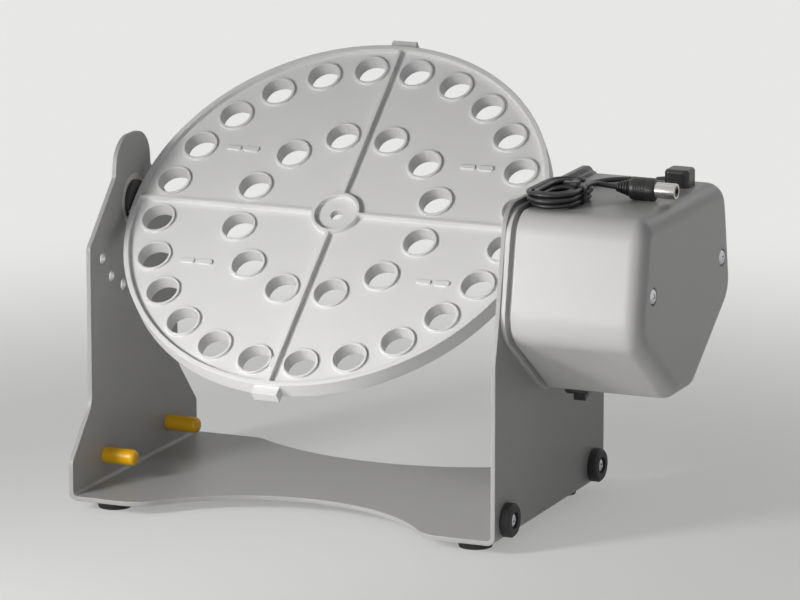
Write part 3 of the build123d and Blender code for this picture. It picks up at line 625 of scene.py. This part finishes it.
def make_tie():
    """Strap round the tied side of the coil, with its catch and a trimmed end."""
    left, right, bottom, top = TIE_BOX
    bends = ((right - TIE_BEND, top - TIE_BEND, 0), (left + TIE_BEND, top - TIE_BEND, 90),
             (left + TIE_BEND, bottom + TIE_BEND, 180), (right - TIE_BEND, bottom + TIE_BEND, 270))
    work = bmesh.new()
    rings = []
    for x, z, start in bends:
        for step in range(BEND_STEPS + 1):
            angle = math.radians(start + 90 // BEND_STEPS * step)
            ring = []
            for across, proud in STRAP:
                reach = TIE_BEND + proud
                ring.append(work.verts.new(at(x + math.cos(angle) * reach, TIE_Y + across * TIE_WIDTH,
                                              z + math.sin(angle) * reach)))
            rings.append(ring)
    for k, ring in enumerate(rings):
        after = rings[(k + 1) % len(rings)]
        for i in range(len(STRAP)):
            j = (i + 1) % len(STRAP)
            work.faces.new((ring[i], ring[j], after[j], after[i]))
    corners = strap_block(work, top, *CATCH) + strap_block(work, top, *TRIMMED_END)
    sharp = {edge for corner in corners for edge in corner.link_edges}
    bmesh.ops.bevel(work, geom=list(sharp), offset=BLOCK_EDGE * MM, segments=2, affect="EDGES")
    tie = new_piece("coil_tie", work, BLACK, TIE_SMOOTH)
    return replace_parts(tie, "lead_tie")


# ---- floor, light ----
BACKDROP = (0.80, 0.80, 0.79, 1)
ROOM_LIGHT = (0.97, 0.985, 1.0, 1)
ROOM_STRENGTH = 0.08
FLOOR_RADIUS = 9.0
FLOOR_ROUGHNESS = 0.7
# Metres from the middle over which the floor turns into the backdrop, and its share at the nearer one.
FADE_START = 0.12
FADE_END = 0.5
FADE_SHARE = 0.4


def seen_directly(tree):
    """1 for rays from the camera, from a mirror-like surface and through a clear one."""
    path = put(tree, "ShaderNodeLightPath").outputs
    seen = calc(tree, "MAXIMUM", path["Is Camera Ray"], path["Is Glossy Ray"])
    return calc(tree, "MAXIMUM", seen, path["Is Transmission Ray"])


def make_floor():
    """A pale disc that keeps the shadow near the stand and fades into the backdrop."""
    work = bmesh.new()
    bmesh.ops.create_circle(work, cap_ends=True, segments=96, radius=FLOOR_RADIUS)
    mesh = bpy.data.meshes.new("floor")
    work.to_mesh(mesh)
    work.free()
    floor = bpy.data.objects.new("floor", mesh)
    bpy.context.scene.collection.objects.link(floor)
    material, tree, shader = new_material("floor")
    shader.inputs["Base Color"].default_value = BACKDROP
    shader.inputs["Roughness"].default_value = FLOOR_ROUGHNESS
    glow = put(tree, "ShaderNodeEmission", {"Color": BACKDROP, "Strength": 1.0})
    away = put(tree, "ShaderNodeVectorMath", {0: object_place(tree)}, operation="LENGTH").outputs["Value"]
    fade = remap(tree, away, FADE_START, FADE_END, FADE_SHARE)
    share = calc(tree, "MULTIPLY", fade, seen_directly(tree))
    blend = put(tree, "ShaderNodeMixShader", {0: share, 1: shader.outputs[0], 2: glow.outputs[0]})
    output = next(node for node in tree.nodes if node.type == "OUTPUT_MATERIAL")
    tree.links.new(blend.outputs[0], output.inputs["Surface"])
    mesh.materials.append(material)


def make_world():
    """Dim, even light from all sides behind a pale backdrop."""
    world = bpy.data.worlds.new("room")
    bpy.context.scene.world = world
    world.use_nodes = True
    tree = world.node_tree
    tree.nodes.clear()
    seen = seen_directly(tree)
    shown = put(tree, "ShaderNodeBackground", {"Color": BACKDROP, "Strength": 1.0})
    light = put(tree, "ShaderNodeBackground", {"Color": ROOM_LIGHT, "Strength": ROOM_STRENGTH})
    blend = put(tree, "ShaderNodeMixShader", {0: seen, 1: light.outputs[0], 2: shown.outputs[0]})
    output = put(tree, "ShaderNodeOutputWorld")
    tree.links.new(blend.outputs[0], output.inputs["Surface"])


WHITE = (1, 1, 1)
WARM = (1.0, 0.99, 0.975)
COOL = (0.97, 0.985, 1.0)
NARROW = 75                 # degrees
WIDE = 180


def lamp(name, place, target, size, power, colour=WHITE, spread=WIDE):
    """A round soft lamp that shines from its place at the target."""
    data = bpy.data.lights.new(name, "AREA")
    data.shape = "DISK"
    data.size = size
    data.energy = power
    data.color = colour
    data.spread = math.radians(spread)
    light = bpy.data.objects.new(name, data)
    bpy.context.scene.collection.objects.link(light)
    light.location = place
    light.rotation_mode = "QUATERNION"
    light.rotation_quaternion = (Vector(target) - Vector(place)).to_track_quat("-Z", "Y")
    light.visible_camera = False


def make_lights():
    """Each lamp's place, target, size and power."""
    lamp("key", (-0.25, -0.42, 0.22), (0.01, -0.06, 0.035), 0.13, 0.34, WARM, NARROW)
    lamp("low", (-0.02, -0.52, 0.10), (0.07, -0.04, 0.08), 0.2, 0.10, WHITE, NARROW)
    lamp("side", (-0.75, -0.55, 0.30), (0.0, 0.0, 0.08), 0.5, 0.1)
    lamp("top", (-0.3, 0.1, 1.5), (0, 0, 0.05), 0.9, 0.35)
    lamp("fill", (1.1, -1.0, 0.35), (0, 0, 0.07), 0.8, 0.4, COOL)
    lamp("back", (0.35, 1.2, 0.75), (0, 0, 0.08), 0.6, 0.7)


bpy.context.scene.view_settings.view_transform = "Standard"
make_camera()
finish_nodes()
plug = make_plug()
tie = make_tie()
lead = make_lead()
lead.data.materials.append(JACKET)
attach(lead, "stand")
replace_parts(lead, "lead_tube", "lead_coil")
make_screws()
make_floor()
make_world()
make_lights()
